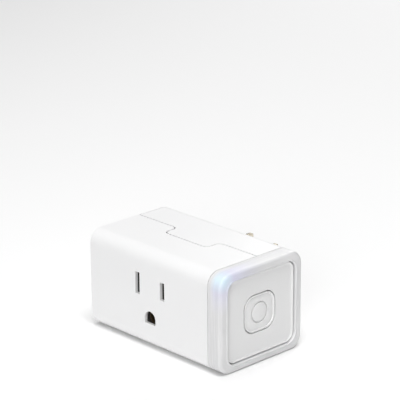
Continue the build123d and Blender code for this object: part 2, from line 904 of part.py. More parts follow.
def status_leds():
    """Lamps that light the ring."""
    half = led_width / 2
    low_x = button_board_front
    lamps = []
    for y, z in led_places():
        lamp = block((low_x, y - half, z - half), (low_x + led_height, y + half, z + half))
        lamps.append(fillet(lamp.faces().sort_by(Axis.X)[-1].edges(), led_round).solid())
    return Compound(lamps)


def light_baffle():
    """White frame between the button board and the ring, with windows for the lamps."""
    low = button_board_front
    high = ring_face - baffle_gap
    outer = casing_inside(cover_inset + board_edge_gap, low, high)
    inner = section(cover_inset + baffle_border, cover_inset + baffle_border, board_corner, low, high)
    baffle = outer - inner
    half = led_width / 2 + led_window_gap
    for y, z in led_places():
        baffle -= block((low, y - half, z - half), (high, y + half, z + half))
    return baffle


parts = {
    "front_shell": front_shell(),
    "rear_cover": rear_cover(),
    "light_ring": light_ring(),
    "end_panel": end_panel(),
    "power_button": power_button(),
    "line_blade": blade(line_x, blade_width_line),
    "neutral_blade": blade(neutral_x, blade_width_neutral),
    "ground_pin": ground_pin(),
    "blade_carrier": blade_carrier(),
    "socket_carrier": socket_carrier(),
    "line_contact": blade_contact(line_x),
    "neutral_contact": blade_contact(neutral_x),
    "ground_contact": ground_contact(),
    "line_busbar": busbar(line_x, slots_z, contact_height),
    "neutral_busbar": busbar(neutral_x, slots_z, contact_height),
    "ground_strap": busbar(outlet_x, ground_z, 2 * ground_contact_bore),
    "carrier_screws": carrier_screws(),
    "main_board": main_board(),
    "board_screws": board_screws(),
    "relay_case": relay_case(),
    "relay_base": relay_base(),
    "relay_coil": relay_coil(),
    "relay_yoke": relay_yoke(),
    "relay_armature": relay_armature(),
    "relay_contacts": relay_contacts(),
    "bulk_capacitors": bulk_capacitors(),
    "output_capacitor": output_capacitor(),
    "filter_inductor": filter_inductor(),
    "varistor": varistor(),
    "fuse_resistor": fuse_resistor(),
    "transformer_core": transformer_core(),
    "transformer_coil": transformer_coil(),
    "bridge_rectifier": bridge_rectifier(),
    "power_chip": power_chip(),
    "wifi_board": wifi_board(),
    "wifi_shield": wifi_shield(),
    "board_header": board_header(),
    "button_board": button_board(),
    "tact_switch": tact_switch(),
    "switch_plunger": switch_plunger(),
    "status_leds": status_leds(),
    "light_baffle": light_baffle(),
}

os.makedirs("parts", exist_ok=True)
for name, shape in parts.items():
    export_step(shape, f"parts/{name}.step")
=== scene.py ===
import bpy
import bmesh
import json
import math
from mathutils import Matrix, Quaternion, Vector


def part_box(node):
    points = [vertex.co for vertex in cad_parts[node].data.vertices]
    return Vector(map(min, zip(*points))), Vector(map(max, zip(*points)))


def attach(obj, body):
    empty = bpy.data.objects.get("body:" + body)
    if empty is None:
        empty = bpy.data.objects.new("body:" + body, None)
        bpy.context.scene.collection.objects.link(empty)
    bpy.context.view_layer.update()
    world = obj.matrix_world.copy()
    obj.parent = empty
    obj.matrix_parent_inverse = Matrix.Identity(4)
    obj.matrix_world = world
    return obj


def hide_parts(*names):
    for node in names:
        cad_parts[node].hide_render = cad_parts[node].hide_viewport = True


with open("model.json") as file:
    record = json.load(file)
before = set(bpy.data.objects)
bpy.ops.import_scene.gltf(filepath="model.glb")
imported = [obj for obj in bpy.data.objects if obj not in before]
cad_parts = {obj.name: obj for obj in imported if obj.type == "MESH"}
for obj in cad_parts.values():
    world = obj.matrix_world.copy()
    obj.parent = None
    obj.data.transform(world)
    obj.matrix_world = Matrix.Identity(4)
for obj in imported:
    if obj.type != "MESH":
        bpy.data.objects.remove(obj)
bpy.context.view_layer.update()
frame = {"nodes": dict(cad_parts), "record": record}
nodes = frame["nodes"]
record = frame["record"]
scene = bpy.context.scene
milli = 0.001
print("frame loaded:", len(nodes), "nodes")


# sizes taken from the frame, in millimetres

def span(node):
    low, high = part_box(node)
    return low / milli, high / milli


def mountPoint(name):
    for mount in record["mounts"]:
        if mount["name"] == name:
            return Vector(mount["pos_m"]) / milli


shellLow, shellHigh = span("front_shell")
coverLow, coverHigh = span("rear_cover")
ringLow, ringHigh = span("light_ring")
panelLow, panelHigh = span("end_panel")
keyLow, keyHigh = span("power_button")
bodyLow = shellLow.copy()
bodyHigh = Vector((ringHigh.x, coverHigh.y, shellHigh.z))
middleY = (bodyLow.y + bodyHigh.y) / 2
middleZ = (bodyLow.z + bodyHigh.z) / 2

# coordinates closer than this are the same place
same = 0.01


# mesh helpers; everything is built in millimetres

def addBox(bm, low, high):
    low, high = Vector(low), Vector(high)
    place = Matrix.Translation((low + high) / 2) @ Matrix.Diagonal((*(high - low), 1))
    bmesh.ops.create_cube(bm, size=1, matrix=place)


def alongX(edge):
    run = edge.verts[1].co - edge.verts[0].co
    return abs(run.y) < 1e-5 and abs(run.z) < 1e-5


def roundedBar(low, high, radius, segments):
    # a bar along X whose four long edges are rounded
    bm = bmesh.new()
    addBox(bm, low, high)
    longEdges = [e for e in bm.edges if alongX(e)]
    bmesh.ops.bevel(bm, geom=longEdges, offset=radius, affect="EDGES", segments=segments,
                    profile=0.5, material=-1, clamp_overlap=False)
    return bm


def outline(bm, x, width, height, radius, segments, centre):
    # a closed loop of edges in a plane across X: a rectangle with round corners
    turn = Matrix.Rotation(math.radians(90), 4, "Y") @ Matrix.Rotation(math.radians(90), 4, "Z")
    place = Matrix.Translation((x, centre[0], centre[1])) @ turn @ Matrix.Diagonal((width, height, 1, 1))
    made = bmesh.ops.create_grid(bm, x_segments=1, y_segments=1, size=0.5, matrix=place)
    grown = bmesh.ops.bevel(bm, geom=made["verts"], offset=radius, affect="VERTICES", segments=segments,
                            profile=0.5, material=-1, clamp_overlap=False)
    face = max((f for v in grown["verts"] for f in v.link_faces), key=lambda f: len(f.verts))
    edges = list(face.edges)
    bmesh.ops.delete(bm, geom=[face], context="FACES_ONLY")
    return edges


def circle(bm, x, radius, segments, centre):
    # a closed loop of edges in a plane across X
    turn = Matrix.Rotation(math.radians(90), 4, "Y")
    place = Matrix.Translation((x, centre[0], centre[1])) @ turn
    made = bmesh.ops.create_circle(bm, cap_ends=False, radius=radius, segments=segments, matrix=place)
    return list({e for v in made["verts"] for e in v.link_edges})


def skin(bm, loops, closed=False):
    # walls from each loop to the next
    pairs = list(zip(loops, loops[1:]))
    if closed:
        pairs.append((loops[-1], loops[0]))
    for first, second in pairs:
        bmesh.ops.bridge_loops(bm, edges=first + second)


def sharpEdges(bm, degrees):
    limit = math.radians(degrees)
    return [e for e in bm.edges if len(e.link_faces) == 2 and e.calc_face_angle(0) > limit]


def soften(bm, width, segments, degrees=35, keep=None):
    # rounds the edges that turn by more than the given angle, or those of them that keep accepts
    edges = [e for e in sharpEdges(bm, degrees) if keep is None or keep(e)]
    bmesh.ops.bevel(bm, geom=edges, offset=width, affect="EDGES", segments=segments,
                    profile=0.5, material=-1, clamp_overlap=True)


def loose(bm, name):
    mesh = bpy.data.meshes.new(name)
    bm.to_mesh(mesh)
    bm.free()
    thing = bpy.data.objects.new(name, mesh)
    scene.collection.objects.link(thing)
    return thing


def carve(bm, cutters):
    # cuts closed meshes out of another and gives the result as a new bmesh
    base = loose(bm, "base")
    for cutter in cutters:
        tool = loose(cutter, "tool")
        step = base.modifiers.new("carve", "BOOLEAN")
        step.operation = "DIFFERENCE"
        step.solver = "EXACT"
        step.object = tool
        made = bpy.data.meshes.new_from_object(base.evaluated_get(bpy.context.evaluated_depsgraph_get()))
        base.modifiers.clear()
        base.data = made
        bpy.data.objects.remove(tool)
    result = bmesh.new()
    result.from_mesh(base.data)
    bpy.data.objects.remove(base)
    bmesh.ops.remove_doubles(result, verts=result.verts, dist=0.002)
    bmesh.ops.dissolve_limit(result, angle_limit=0.002, verts=result.verts, edges=result.edges)
    return result


def makePiece(name, bm, body, node, slot, sharp=40):
    # turns a finished bmesh in millimetres into a piece that stands for a CAD node
    bmesh.ops.remove_doubles(bm, verts=bm.verts, dist=0.001)
    bmesh.ops.recalc_face_normals(bm, faces=bm.faces)
    bmesh.ops.scale(bm, vec=(milli,) * 3, verts=bm.verts)
    mesh = bpy.data.meshes.new(name)
    bm.to_mesh(mesh)
    bm.free()
    mesh.shade_smooth()
    mesh.set_sharp_from_angle(angle=math.radians(sharp))
    mesh.materials.append(finishes[slot])
    piece = bpy.data.objects.new(name, mesh)
    scene.collection.objects.link(piece)
    even = piece.modifiers.new("even normals", "WEIGHTED_NORMAL")
    even.keep_sharp = True
    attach(piece, body)
    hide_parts(node)


# shader helpers

class Wire:
    # a node's output socket that can be used in sums
    def __init__(self, tree, socket=None):
        self.tree = tree
        self.socket = socket

    def make(self, kind, settings=None, inputs=None, out=0):
        node = self.tree.nodes.new("ShaderNode" + kind)
        for key, value in (settings or {}).items():
            setattr(node, key, value)
        for key, value in (inputs or {}).items():
            if isinstance(value, Wire):
                self.tree.links.new(value.socket, node.inputs[key])
            else:
                node.inputs[key].default_value = value
        return Wire(self.tree, node.outputs[out])

    def sum(self, operation, *values):
        return self.make("Math", {"operation": operation}, dict(enumerate(values)))

    def __add__(self, other):
        return self.sum("ADD", self, other)

    def __radd__(self, other):
        return self.sum("ADD", other, self)

    def __sub__(self, other):
        return self.sum("SUBTRACT", self, other)

    def __rsub__(self, other):
        return self.sum("SUBTRACT", other, self)

    def __mul__(self, other):
        return self.sum("MULTIPLY", self, other)

    def __rmul__(self, other):
        return self.sum("MULTIPLY", other, self)

    def __truediv__(self, other):
        return self.sum("DIVIDE", self, other)

    def __pow__(self, other):
        return self.sum("POWER", self, other)

    def clip(self):
        return self.make("Clamp", None, {"Value": self})

    def blend(self, first, second):
        # a colour that goes from first to second as this value goes from 0 to 1
        return self.make("Mix", {"data_type": "RGBA"}, {0: self, 6: first, 7: second}, out=2)


def colour(*rgb):
    return (*rgb, 1.0)


def newFinish(name, **fixed):
    # a material with its shader, and a wire for its object coordinates in millimetres
    material = bpy.data.materials.new(name)
    material.use_nodes = True
    tree = material.node_tree
    shader = tree.nodes["Principled BSDF"]
    for key, value in fixed.items():
        shader.inputs[key.replace("_", " ")].default_value = value
    start = Wire(tree)
    place = start.make("TexCoord", out=3)
    spot = start.make("VectorMath", {"operation": "SCALE"}, {0: place, "Scale": 1 / milli})
    return material, shader, spot


def feed(shader, **wires):
    for key, wire in wires.items():
        wire.tree.links.new(wire.socket, shader.inputs[key.replace("_", " ")])


def noise(spot, scale, detail, roughness=0.5, stretch=(1, 1, 1)):
    # noise whose cells are about 1 / scale millimetres, drawn out where stretch is small
    drawn = spot.make("VectorMath", {"operation": "MULTIPLY"}, {0: spot, 1: stretch})
    settings = {"Vector": drawn, "Scale": scale, "Detail": detail, "Roughness": roughness}
    return spot.make("TexNoise", None, settings)


def bump(height, strength, distance=0.00005):
    return height.make("Bump", None, {"Strength": strength, "Distance": distance, "Height": height})


# finishes

plasticLook = {
    "casing": dict(tone=(0.89, 0.89, 0.893), rough=0.34, grain=6.0, depth=0.05),
    "panel": dict(tone=(0.84, 0.84, 0.84), rough=0.42, grain=9.0, depth=0.09),
    "button": dict(tone=(0.84, 0.84, 0.84), rough=0.4, grain=9.0, depth=0.07),
}
mouldWear = {"flowScale": 0.05, "flowGloss": 0.06, "grainGloss": 0.05, "dark": 0.985, "bright": 1.01}


def mouldedPlastic(name, look):
    # satin moulding: a very fine grain, faint flow marks and slightly uneven gloss
    material, shader, spot = newFinish(name, Specular_IOR_Level=0.5, IOR=1.5)
    flow = noise(spot, mouldWear["flowScale"], 2.0)
    grain = noise(spot, look["grain"], 2.0)
    tone = Vector(look["tone"])
    low, high = tone * mouldWear["dark"], tone * mouldWear["bright"]
    flowGloss, grainGloss = mouldWear["flowGloss"], mouldWear["grainGloss"]
    middle = (flowGloss + grainGloss) / 2
    feed(shader, Base_Color=flow.blend(colour(*low), colour(*high)))
    feed(shader, Roughness=(flow * flowGloss + grain * grainGloss + (look["rough"] - middle)))
    feed(shader, Normal=bump(grain, look["depth"]))
    return material


finishes = {
    "white_casing": mouldedPlastic("casingPlastic", plasticLook["casing"]),
    "panel_plastic": mouldedPlastic("panelPlastic", plasticLook["panel"]),
    "button_plastic": mouldedPlastic("buttonPlastic", plasticLook["button"]),
}


glowLook = {
    "low": (0.68, 0.68, 0.685),
    "high": (0.83, 0.83, 0.835),
    # painted glow: the bluish base colour where the lit corner's light spreads
    "paintedGlowTint": (0.68, 0.68, 0.74),
    "core": (0.03, 0.19, 0.22),
    "halo": (0.02, 0.02, 0.13),
    "corner": 1.5,
    "reachCore": 4.8,
    "reachAlong": 20.0,
    "reachDown": 13.0,
    "start": 0.6,
    "ramp": 0.4,
    "coreFade": 0.8,
    "haloFade": 1.3,
    "streakScale": 1.6,
    "cloudScale": 0.12,
    "streakTone": 2.4,
    "cloudTone": 0.3,
    "baseTone": 0.35,
    "rough": 0.3,
    "streakGloss": 0.12,
    "streakGlow": 0.6,
    "baseGlow": 0.8,
    "streakDepth": 0.08,
}


def diffuserPlastic():
    # milky light guide: streaks that follow the band, and one lit corner whose glow is also painted into
    # the base colour as a bluish tint
    look = glowLook
    material, shader, spot = newFinish("diffuser", Specular_IOR_Level=0.5, Coat_Roughness=0.25,
                                       Emission_Strength=1.0)
    x, y, z = [spot.make("SeparateXYZ", None, {0: spot}, out=i) for i in range(3)]
    offY = y - (bodyLow.y + look["corner"])
    offZ = z - (bodyHigh.z - look["corner"])
    near = (offY * offY + offZ * offZ) ** 0.5
    alongY, downZ = offY / look["reachAlong"], offZ / look["reachDown"]
    far = (alongY * alongY + downZ * downZ) ** 0.5
    lit = ((x - (ringLow.x + look["start"])) * look["ramp"]).clip()
    core = (1 - near / look["reachCore"]).clip() ** look["coreFade"]
    halo = (1 - far).clip() ** look["haloFade"] * lit
    streaks = noise(spot, look["streakScale"], 3.0, 0.6, stretch=(1, 0.03, 0.03))
    clouds = noise(spot, look["cloudScale"], 2.0)
    mottle = ((streaks - 0.5) * look["streakTone"] + clouds * look["cloudTone"] + look["baseTone"]).clip()
    tone = mottle.blend(colour(*look["low"]), colour(*look["high"]))
    # painted light: the base colour is blended towards a bluish tint where the corner's glow spreads
    feed(shader, Base_Color=halo.blend(tone, colour(*look["paintedGlowTint"])))
    feed(shader, Roughness=(streaks * look["streakGloss"] + look["rough"]))
    shine = core.blend(colour(*look["halo"]), colour(*look["core"]))
    glow = (halo * (streaks * look["streakGlow"] + look["baseGlow"])).clip()
    feed(shader, Emission_Color=glow.blend(colour(0, 0, 0), shine))
    feed(shader, Normal=bump(streaks, look["streakDepth"]))
    return material


finishes["diffuser"] = diffuserPlastic()


metalLook = {
    "nickel_brass": dict(tone=(0.72, 0.66, 0.54), rough=0.26, stretch=(4, 0.15, 4)),
    "bronze_contact": dict(tone=(0.42, 0.29, 0.17), rough=0.42, stretch=(4, 0.2, 4)),
    "copper": dict(tone=(0.8, 0.42, 0.28), rough=0.3, stretch=(4, 0.2, 4)),
    "zinc_steel": dict(tone=(0.62, 0.63, 0.65), rough=0.3, stretch=(1, 1, 1)),
    "can_metal": dict(tone=(0.68, 0.68, 0.69), rough=0.22, stretch=(1, 3, 0.2)),
}
metalWear = {
    "markScale": 2.0,
    "patchScale": 0.25,
    "dark": 0.85,
    "bright": 1.1,
    "markGloss": 0.14,
    "patchGloss": 0.1,
    "glossDrop": 0.1,
    "markStrength": 0.12,
    "markHeight": 0.00002,
}


def rolledMetal(slot, look):
    # bare metal with marks drawn out one way by its stretch, and duller patches
    wear = metalWear
    material, shader, spot = newFinish(slot, Metallic=1.0)
    marks = noise(spot, wear["markScale"], 4.0, 0.6, look["stretch"])
    patches = noise(spot, wear["patchScale"], 2.0)
    tone = Vector(look["tone"])
    mixed = marks * 0.5 + patches * 0.5
    feed(shader, Base_Color=mixed.blend(colour(*(tone * wear["dark"])), colour(*(tone * wear["bright"]))))
    gloss = marks * wear["markGloss"] + patches * wear["patchGloss"]
    feed(shader, Roughness=(gloss + (look["rough"] - wear["glossDrop"])))
    feed(shader, Normal=bump(marks, wear["markStrength"], wear["markHeight"]))
    return material


for slot, look in metalLook.items():
    finishes[slot] = rolledMetal(slot, look)


innerLook = {
    "grey_insulator": dict(low=(0.03, 0.03, 0.032), high=(0.05, 0.05, 0.053),
                           rough=0.5, grain=3.0, depth=0.2),
    "black_plastic": dict(low=(0.018, 0.018, 0.02), high=(0.035, 0.035, 0.038),
                          rough=0.45, grain=4.0, depth=0.25),
    "green_board": dict(low=(0.02, 0.16, 0.06), high=(0.03, 0.24, 0.09), rough=0.35, grain=1.2, depth=0.15),
    "relay_plastic": dict(low=(0.05, 0.12, 0.3), high=(0.07, 0.15, 0.36), rough=0.4, grain=4.0, depth=0.15),
    "capacitor_sleeve": dict(low=(0.02, 0.025, 0.05), high=(0.03, 0.035, 0.07),
                             rough=0.28, grain=0.8, depth=0.1),
    "ferrite": dict(low=(0.07, 0.07, 0.075), high=(0.11, 0.11, 0.115), rough=0.6, grain=5.0, depth=0.4),
    "varistor_coat": dict(low=(0.05, 0.14, 0.4), high=(0.08, 0.19, 0.5), rough=0.3, grain=0.7, depth=0.3),
    "resistor_coat": dict(low=(0.25, 0.42, 0.34), high=(0.32, 0.5, 0.4), rough=0.55, grain=3.0, depth=0.3),
    "winding_tape": dict(low=(0.62, 0.46, 0.05), high=(0.74, 0.56, 0.1), rough=0.25, grain=0.6, depth=0.1),
    "plunger_plastic": dict(low=(0.5, 0.48, 0.42), high=(0.58, 0.56, 0.5),
                            rough=0.45, grain=4.0, depth=0.1),
    "lamp": dict(low=(0.75, 0.78, 0.6), high=(0.85, 0.88, 0.72), rough=0.15, grain=2.0, depth=0.05),
}
innerGloss = 0.16


def innerFinish(slot, look):
    # an inside part: two tones of its own colour, with its grain in the surface
    material, shader, spot = newFinish(slot)
    grain = noise(spot, look["grain"], 4.0, 0.55)
    feed(shader, Base_Color=grain.blend(colour(*look["low"]), colour(*look["high"])))
    feed(shader, Roughness=(grain * innerGloss + (look["rough"] - innerGloss / 2)))
    feed(shader, Normal=bump(grain, look["depth"]))
    return material


for slot, look in innerLook.items():
    finishes[slot] = innerFinish(slot, look)

for part in record["subparts"]:
    node = nodes[part["node"]]
    node.data.materials.clear()
    node.data.materials.append(finishes[part["material_slot"]])
print("finishes made:", len(finishes))


# front shell and rear cover

casing = {
    "corner": 5.1,
    "wall": 1.8,
    "coverWall": 2.8,
    "seam": 0.35,
    "coverDepth": 16.6,
    "tabHalf": 11.0,
    "tabReach": 6.4,
    "tabRound": 2.2,
    "lip": 0.6,
    "edge": 0.07,
    "endEdge": 0.4,
    "cornerSteps": 14,
    "tabSteps": 8,
    "overrun": 5.0,
    "skinLeft": 3.0,
}
outlet = {
    "slotWidth": 2.2,
    "lineHeight": 6.7,
    "neutralHeight": 8.2,
    "groundRadius": 2.75,
    "groundFlat": 2.0,
    "mouth": 0.5,
    "sill": 1.3,
    "pocket": 0.9,
    "before": 1.0,
    "past": 1.0,
    "halfZone": 12.0,
    "roundSides": 56,
}


def bar(inset, xLow, xHigh):
    # the casing's section, brought in by the same inset all round
    low = (xLow, bodyLow.y + inset, bodyLow.z + inset)
    high = (xHigh, bodyHigh.y - inset, bodyHigh.z - inset)
    return roundedBar(low, high, casing["corner"] - inset, casing["cornerSteps"])


def coverSpace(grow, xLow, tab):
    # the space of the rear cover as a slab; the one with the tab is the upper half
    edgeY = bodyHigh.y - casing["coverDepth"] - grow
    xHigh = bodyHigh.x + casing["overrun"]
    centreX = mountPoint("earth_pin").x
    half = casing["tabHalf"] + grow
    tabY = edgeY - casing["tabReach"]
    backY = bodyHigh.y + casing["overrun"]
    points = [(xLow, backY), (xLow, edgeY)]
    if tab:
        points += [(centreX - half, edgeY), (centreX - half, tabY)]
        points += [(centreX + half, tabY), (centreX + half, edgeY)]
    points += [(xHigh, edgeY), (xHigh, backY)]
    bm = bmesh.new()
    corners = [bm.verts.new((px, py, middleZ)) for px, py in points]
    face = bm.faces.new(corners)
    if tab:
        bmesh.ops.bevel(bm, geom=corners[2:6], offset=casing["tabRound"], affect="VERTICES",
                        segments=casing["tabSteps"], profile=0.5, material=-1)
        face = max(bm.faces, key=lambda f: len(f.verts))
    height = (bodyHigh.z - bodyLow.z) * (1 if tab else -1)
    grown = bmesh.ops.extrude_face_region(bm, geom=[face])
    raised = [v for v in grown["geom"] if isinstance(v, bmesh.types.BMVert)]
    bmesh.ops.translate(bm, vec=(0, 0, height), verts=raised)
    bmesh.ops.recalc_face_normals(bm, faces=bm.faces)
    return bm


def slotHole(centre, height, grow, depth):
    # grow widens the hole, and depth is how far behind the face it starts
    half = outlet["slotWidth"] / 2 + grow
    tall = height / 2 + grow
    bm = bmesh.new()
    addBox(bm, (centre.x - half, bodyLow.y + depth, centre.z - tall),
           (centre.x + half, bodyLow.y + casing["wall"] + outlet["past"], centre.z + tall))
    return bm


def groundHole(centre, grow, depth):
    # a half circle on top, straight sides and a flat bottom
    bm = bmesh.new()
    turn = Matrix.Rotation(math.radians(90), 4, "X")
    place = Matrix.Translation((centre.x, bodyLow.y + depth, centre.z)) @ turn
    radius = outlet["groundRadius"] + grow
    bmesh.ops.create_circle(bm, cap_ends=True, radius=radius, segments=outlet["roundSides"],
                            matrix=place)
    everything = bm.verts[:] + bm.edges[:] + bm.faces[:]
    bmesh.ops.bisect_plane(bm, geom=everything, plane_co=centre, plane_no=(0, 0, -1), clear_outer=True)
    across = max(bm.edges, key=lambda e: e.calc_length())
    lowered = bmesh.ops.extrude_edge_only(bm, edges=[across])
    corners = [v for v in lowered["geom"] if isinstance(v, bmesh.types.BMVert)]
    bmesh.ops.translate(bm, vec=(0, 0, -outlet["groundFlat"] - grow), verts=corners)
    grown = bmesh.ops.extrude_face_region(bm, geom=bm.faces[:])
    raised = [v for v in grown["geom"] if isinstance(v, bmesh.types.BMVert)]
    bmesh.ops.translate(bm, vec=(0, casing["wall"] + outlet["past"] - depth, 0), verts=raised)
    bmesh.ops.recalc_face_normals(bm, faces=bm.faces)
    return bm


def buildFrontShell():
    seamX = shellHigh.x
    bm = bar(0, bodyLow.x, seamX)
    cavity = bar(casing["wall"], bodyLow.x + casing["wall"], seamX + casing["overrun"])
    holes = [cavity]
    for side in (True, False):
        holes.append(coverSpace(0, bodyLow.x + casing["lip"], side))
    for grow, depth in ((0.0, -outlet["before"]), (outlet["pocket"], outlet["sill"])):
        holes.append(slotHole(mountPoint("line_slot"), outlet["lineHeight"], grow, depth))
        holes.append(slotHole(mountPoint("neutral_slot"), outlet["neutralHeight"], grow, depth))
        holes.append(groundHole(mountPoint("earth_socket"), grow, depth))
    bm = carve(bm, holes)

    lowX, highX = bodyLow.x + casing["overrun"], seamX - casing["overrun"]

    def atFace(e):
        # the edges of the holes in the front face
        return all(abs(v.co.y - bodyLow.y) < same and abs(v.co.z) < outlet["halfZone"]
                   and lowX < v.co.x < highX for v in e.verts)

    soften(bm, outlet["mouth"], 2, keep=atFace)
    soften(bm, casing["endEdge"], 4, keep=lambda e: all(abs(v.co.x - bodyLow.x) < same for v in e.verts))
    soften(bm, casing["edge"], 2, 50)
    makePiece("frontShell", bm, "casing", "front_shell", "white_casing")


def buildRearCover():
    # a hollow bar, cut back to the seam below and to the tab's outline above; the cut above leaves
    # skinLeft of the back alone
    xLow, xHigh = coverLow.x, coverHigh.x
    over = Vector((casing["overrun"],) * 3)
    outLow, outHigh = bodyLow - over, bodyHigh + over
    bm = bar(0, xLow, xHigh)
    hollow = bar(casing["coverWall"], xLow - over.x, xHigh + over.x)
    bm = carve(bm, [hollow])
    frontHalf = bmesh.new()
    edgeY = bodyHigh.y - casing["coverDepth"] + casing["seam"]
    addBox(frontHalf, outLow, (outHigh.x, edgeY, middleZ))
    bm = carve(bm, [frontHalf])
    upper = bmesh.new()
    addBox(upper, (outLow.x, outLow.y, middleZ), (outHigh.x, bodyHigh.y - casing["skinLeft"], outHigh.z))
    upper = carve(upper, [coverSpace(-casing["seam"], outLow.x - over.x, True)])
    bm = carve(bm, [upper])
    soften(bm, casing["edge"], 2, 50)
    makePiece("rearCover", bm, "casing", "rear_cover", "white_casing")


buildFrontShell()
buildRearCover()
print("casing built")


# light ring; the panel's sizes come first, because the ring's ledge follows them

panel = {
    "gap": 0.45,
    "thickness": 1.6,
    "rimHeight": 0.5,
    "land": 0.22,
    "cove": 1.0,
    "edge": 0.1,
    "hooks": 2.4,
    "holeRound": ((0.01, 0.09), (0.04, 0.03), (0.1, 0.0)),
    "steps": 6,
}
ring = {
    "borderY": 3.4,
    "borderZ": 2.85,
    "opening": 3.9,
    "outerRound": 1.2,
    "fall": 0.3,
    "bead": 0.7,
    "beadShape": ((0.27, 1.0), (0.135, 0.78), (0.04, 0.55), (0.0, 0.35), (0.04, 0.12), (0.14, 0.02)),
    "ledge": 1.2,
    "mouth": 0.3,
    "back": 0.12,
    "turn": 86,
    "steps": 6,
}
roundSteps = 12


def ringLoop(bm, x, share):
    # share runs from 0 on the outside to 1 at the edge of the opening
    insetY = ring["borderY"] * share
    insetZ = ring["borderZ"] * share
    radius = casing["corner"] + (ring["opening"] - casing["corner"]) * share
    width = bodyHigh.y - bodyLow.y - 2 * insetY
    height = bodyHigh.z - bodyLow.z - 2 * insetZ
    return outline(bm, x, width, height, radius, roundSteps, (middleY, middleZ))


def buildLightRing():
    # the lip sits a little low, and a narrow bead runs round the opening; beadShape gives how far
    # each loop lies below the top, in millimetres, and where it is across the bead, as a share
    bm = bmesh.new()
    border = (ring["borderY"] + ring["borderZ"]) / 2
    outer, bead = ring["outerRound"], ring["bead"]
    topX = ringHigh.x
    lipX = topX - ring["fall"]
    stations = [(ringLow.x + ring["back"], 0.0), (lipX - outer, 0.0)]
    for step in range(1, ring["steps"] + 1):
        angle = math.radians(ring["turn"]) * step / ring["steps"]
        stations.append((lipX - outer * (1 - math.sin(angle)), outer * (1 - math.cos(angle)) / border))
    for fall, inset in ring["beadShape"]:
        stations.append((topX - fall, (border - bead * inset) / border))
    ledgeX = panelLow.x + panel["hooks"]
    reach = 1.0 + ring["ledge"] / border
    stations += [(topX - ring["mouth"], 1.0), (ledgeX, 1.0), (ledgeX, reach), (ringLow.x, reach)]
    stations.append((ringLow.x, ring["back"] / border))
    skin(bm, [ringLoop(bm, x, share) for x, share in stations], closed=True)
    makePiece("lightRing", bm, "casing", "light_ring", "diffuser", 50)


buildLightRing()
print("light ring built")


# end panel and button

key = {
    "width": 14.6,
    "height": 13.4,
    "corner": 4.4,
    "gap": 0.42,
    "edge": 0.1,
    "low": 0.12,
    "rim": 0.5,
    "rimDepth": 0.5,
    "crown": 0.3,
    "slope": 2.0,
    "middle": 0.06,
    "groove": 3.7,
    "grooveWidth": 0.48,
    "grooveDepth": 0.75,
    "grooveEdge": 0.04,
    "flange": 0.8,
    "flangeDepth": 0.7,
    "rimRound": ((0.06, 0.03), (0.14, 0.0)),
    "inside": 0.12,
    "discs": ((0.7, 2.0), (1.0, 0.5)),
    "edgeSteps": 3,
    "crownSteps": 8,
}
keyCentre = (middleY, 0.0)
# two loops in one plane don't bridge well, so one of them is moved by a hair
hair, wideHair = 0.004, 0.01


def keyLoop(bm, x, grow):
    width, height = key["width"] + 2 * grow, key["height"] + 2 * grow
    return outline(bm, x, width, height, key["corner"] + grow, roundSteps, keyCentre)


def plateLoop(bm, x, inset):
    width = bodyHigh.y - bodyLow.y - 2 * (ring["borderY"] + panel["gap"] + inset)
    height = bodyHigh.z - bodyLow.z - 2 * (ring["borderZ"] + panel["gap"] + inset)
    corner = ring["opening"] - panel["gap"] - inset
    return outline(bm, x, width, height, corner, roundSteps, (middleY, middleZ))


def buildEndPanel():
    # a tray: a low rim with a cove inside it, then the flat floor round the button; holeRound gives
    # how far each loop lies below the floor, and how far outside the gap
    bm = bmesh.new()
    rimX = panelHigh.x
    floorX = rimX - panel["rimHeight"]
    backX = floorX - panel["thickness"]
    edge = panel["edge"]
    plates = [(backX, 0), (rimX - edge, 0), (rimX - edge * 0.3, edge * 0.3), (rimX, edge)]
    for step in range(panel["steps"] + 1):
        angle = math.radians(90) * step / panel["steps"]
        fall = panel["rimHeight"] * math.sin(angle)
        inset = panel["land"] + panel["cove"] * (1 - math.cos(angle))
        plates.append((rimX - hair - fall, inset))
    loops = [plateLoop(bm, x, inset) for x, inset in plates]
    loops += [keyLoop(bm, floorX - fall, key["gap"] + grow) for fall, grow in panel["holeRound"]]
    loops.append(keyLoop(bm, backX, key["gap"]))
    skin(bm, loops, closed=True)
    makePiece("endPanel", bm, "casing", "end_panel", "panel_plastic", 50)


